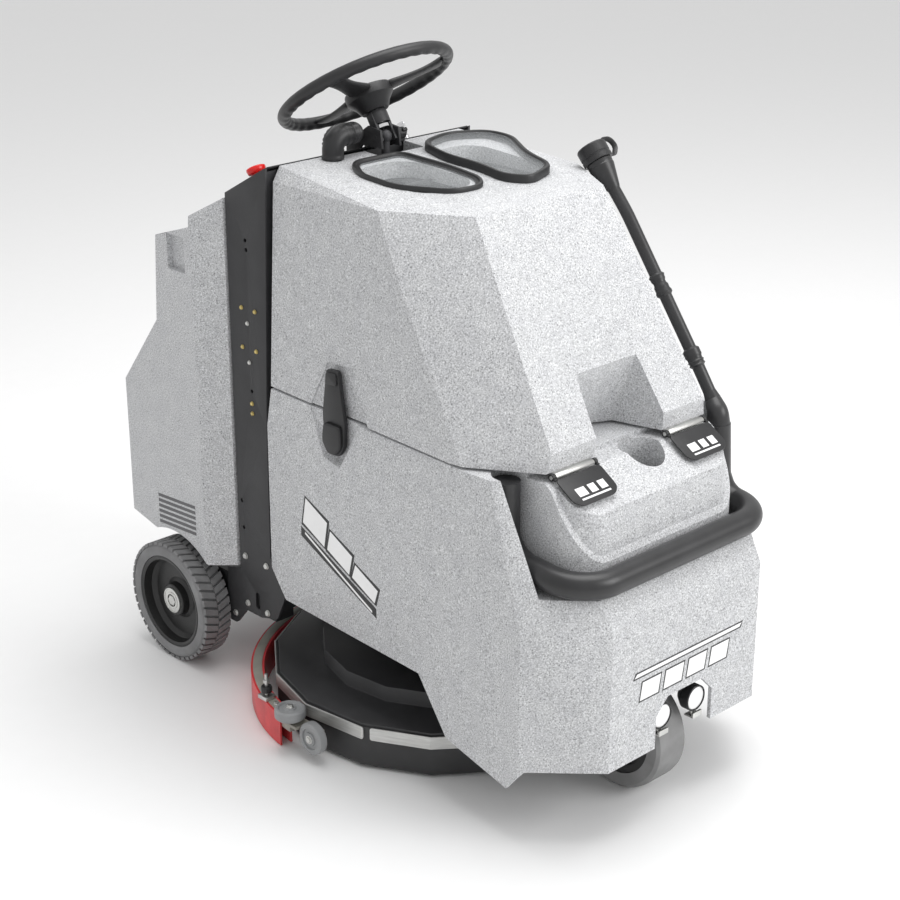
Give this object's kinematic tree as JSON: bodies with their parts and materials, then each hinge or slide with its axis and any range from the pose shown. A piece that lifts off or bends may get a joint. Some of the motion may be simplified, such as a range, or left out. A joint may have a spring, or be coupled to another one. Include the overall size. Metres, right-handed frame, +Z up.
{
  "type": "stand-on floor scrubber",
  "caption": "Stand-on scrubber with speckled body, tilting recovery tank, steered drive wheel, disc brush deck, squeegee, rear platform, steering wheel and drain hose.",
  "frame": {"origin": "on the floor under the middle of the machine's bounding box", "axes": "+Z up, -Y forward, +X to the machine's left-hand side"},
  "size_m": [0.828, 1.229, 1.2764],
  "materials": {
    "body_plastic": "rotomoulded polyethylene with fine light and dark speckle",
    "plate_steel": "charcoal powder coat, semi-matt",
    "frame_steel": "black paint",
    "battery_case": "moulded case",
    "electronics": "finned casting",
    "black_rubber": "smooth hose rubber",
    "mat_rubber": "ribbed mat",
    "black_plastic": "fine grained moulding",
    "clear_plastic": "clear lid",
    "tyre_rubber": "grey non-marking rubber",
    "rim_plastic": "moulded wheel centre",
    "drive_rubber": "grey non-marking rubber",
    "cast_metal": "painted casting",
    "shaft_chrome": "polished",
    "strap_steel": "brushed strip",
    "zinc": "zinc plated",
    "deck_paint": "dark grey powder coat",
    "skirt_rubber": "flexible skirt",
    "bristle": "nylon bristle",
    "red_urethane": "squeegee blade",
    "grey_urethane": "moulded roller",
    "red_plastic": "moulded button",
    "lens": "light lens"
  },
  "bodies": {
    "chassis": {"chassis_frame": "frame_steel", "side_plate_right": "plate_steel", "side_plate_left": "plate_steel", "bulkhead": "plate_steel", "dash_panel": "plate_steel", "lower_body": "body_plastic", "batteries": "battery_case", "motor_controller": "electronics", "vacuum_motor": "cast_metal", "steering_bracket": "plate_steel", "steering_chain": "cast_metal", "platform": "plate_steel", "platform_mat": "mat_rubber", "rear_pod_right": "body_plastic", "rear_pod_left": "body_plastic", "drain_hose_lower": "black_rubber", "light_housings": "black_plastic", "light_lenses": "lens", "light_brackets": "zinc", "hinge_leaves": "black_plastic", "frame_fasteners": "zinc", "vacuum_hose": "black_rubber"},
    "tank": {"recovery_tank": "body_plastic", "hinge_barrels": "zinc", "vacuum_elbow": "black_plastic", "drain_hose_upper": "black_rubber"},
    "window_lid": {"window_frame": "black_plastic", "window_pane": "clear_plastic"},
    "float_lid": {"float_gasket": "black_plastic", "float_cover": "clear_plastic"},
    "cap": {"drain_cap": "black_plastic"},
    "latch_r": {"latch_right": "black_plastic"},
    "latch_l": {"latch_left": "black_plastic"},
    "column": {"column_head": "plate_steel"},
    "steering": {"steering_wheel": "black_plastic", "upper_shaft": "shaft_chrome"},
    "knob": {"tilt_knob": "black_plastic"},
    "shaft": {"lower_shaft": "cast_metal"},
    "fork": {"drive_fork": "cast_metal", "drive_motor": "cast_metal"},
    "drive_wheel": {"drive_tyre": "drive_rubber", "drive_rim": "rim_plastic"},
    "stop": {"stop_button": "red_plastic"},
    "key": {"ignition_key": "shaft_chrome"},
    "pedal": {"presence_pedal": "mat_rubber"},
    "wheel_r": {"tyre_right": "tyre_rubber", "rim_right": "rim_plastic"},
    "wheel_l": {"tyre_left": "tyre_rubber", "rim_left": "rim_plastic"},
    "deck": {"deck_housing": "deck_paint", "deck_skirt": "skirt_rubber", "deck_strap": "strap_steel", "brush_motor": "cast_metal"},
    "brush": {"brush_disc": "bristle"},
    "squeegee": {"squeegee_frame": "zinc", "squeegee_blades": "red_urethane"},
    "bumper_r": {"bumper_roller_right": "grey_urethane"},
    "bumper_l": {"bumper_roller_left": "grey_urethane"},
    "caster_r": {"caster_right": "grey_urethane"},
    "caster_l": {"caster_left": "grey_urethane"}
  },
  "joints": [
    {"name": "tank_tilt", "type": "hinge", "parent": "chassis", "child": "tank", "pos_m": [0, -0.4685, 0.649], "axis": [1, 0, 0], "range_deg": [0, 65]},
    {"name": "window_lid_hinge", "type": "hinge", "parent": "tank", "child": "window_lid", "pos_m": [0, 0.11999, 1.06355], "axis": [-1, 0, 0], "range_deg": [0, 60]},
    {"name": "float_lid_hinge", "type": "hinge", "parent": "tank", "child": "float_lid", "pos_m": [0, 0.15195, 1.06522], "axis": [-1, 0, 0], "range_deg": [0, 50]},
    {"name": "drain_cap_pull", "type": "slide", "parent": "tank", "child": "cap", "axis": [0, 0.6606, 0.7507], "range_m": [0, 0.06]},
    {"name": "latch_right_turn", "type": "hinge", "parent": "chassis", "child": "latch_r", "pos_m": [-0.287, -0.0065, 0.59], "axis": [0, -1, 0], "range_deg": [0, 100]},
    {"name": "latch_left_turn", "type": "hinge", "parent": "chassis", "child": "latch_l", "pos_m": [0.287, -0.0065, 0.59], "axis": [0, 1, 0], "range_deg": [0, 100]},
    {"name": "column_tilt", "type": "hinge", "parent": "chassis", "child": "column", "pos_m": [0, 0.15452, 1.09269], "axis": [-1, 0, 0], "range_deg": [0, 8]},
    {"name": "steering_turn", "type": "hinge", "parent": "column", "child": "steering", "pos_m": [0, 0.15452, 1.09269], "axis": [0, 0.5402, 0.8415], "range_deg": [-105, 105]},
    {"name": "tilt_knob_turn", "type": "hinge", "parent": "chassis", "child": "knob", "pos_m": [0, 0.15452, 1.09269], "axis": [1, 0, 0], "range_deg": [-90, 90]},
    {"name": "lower_shaft_turn", "type": "hinge", "parent": "chassis", "child": "shaft", "pos_m": [0, 0.15452, 0.25], "axis": [0, 0, 1], "range_deg": [-106, 106]},
    {"name": "drive_steer", "type": "hinge", "parent": "chassis", "child": "fork", "pos_m": [0, -0.4865, 0.2], "axis": [0, 0, 1], "range_deg": [-69, 69]},
    {"name": "drive_spin", "type": "hinge", "parent": "fork", "child": "drive_wheel", "pos_m": [0, -0.4865, 0.108], "axis": [1, 0, 0], "continuous": true},
    {"name": "stop_button_push", "type": "slide", "parent": "chassis", "child": "stop", "axis": [0, -0.4813, -0.8766], "range_m": [0, 0.006], "stiffness_N_per_m": 600, "springref_m": -0.002},
    {"name": "ignition_turn", "type": "hinge", "parent": "chassis", "child": "key", "pos_m": [0.15, 0.2568, 1.0343], "axis": [0, 0.4813, 0.8766], "range_deg": [0, 90]},
    {"name": "presence_pedal_press", "type": "hinge", "parent": "chassis", "child": "pedal", "pos_m": [-0.09, 0.3335, 0.229], "axis": [-1, 0, 0], "range_deg": [0, 8], "stiffness_Nm_per_rad": 6, "springref_deg": -2.86},
    {"name": "wheel_right_spin", "type": "hinge", "parent": "chassis", "child": "wheel_r", "pos_m": [-0.2915, 0.4765, 0.127], "axis": [1, 0, 0], "continuous": true},
    {"name": "wheel_left_spin", "type": "hinge", "parent": "chassis", "child": "wheel_l", "pos_m": [0.2915, 0.4765, 0.127], "axis": [1, 0, 0], "continuous": true},
    {"name": "deck_lift", "type": "slide", "parent": "chassis", "child": "deck", "axis": [0, 0, 1], "range_m": [0, 0.045]},
    {"name": "brush_spin", "type": "hinge", "parent": "deck", "child": "brush", "pos_m": [0, -0.0145, 0.04], "axis": [0, 0, 1], "continuous": true},
    {"name": "squeegee_lift", "type": "slide", "parent": "chassis", "child": "squeegee", "axis": [0, 0, 1], "range_m": [0, 0.04]},
    {"name": "bumper_right_spin", "type": "hinge", "parent": "squeegee", "child": "bumper_r", "pos_m": [-0.384, 0.0145, 0.082], "axis": [0, 0, 1], "continuous": true},
    {"name": "bumper_left_spin", "type": "hinge", "parent": "squeegee", "child": "bumper_l", "pos_m": [0.384, 0.0145, 0.082], "axis": [0, 0, 1], "continuous": true},
    {"name": "caster_right_spin", "type": "hinge", "parent": "squeegee", "child": "caster_r", "pos_m": [-0.3787, -0.0453, 0.0494], "axis": [1, 0, 0], "continuous": true},
    {"name": "caster_left_spin", "type": "hinge", "parent": "squeegee", "child": "caster_l", "pos_m": [0.3787, -0.0453, 0.0494], "axis": [1, 0, 0], "continuous": true}
  ],
  "couplings": [
    {"joint": "lower_shaft_turn", "follows": "steering_turn", "ratio": 1},
    {"joint": "drive_steer", "follows": "steering_turn", "ratio": 0.65}
  ]
}
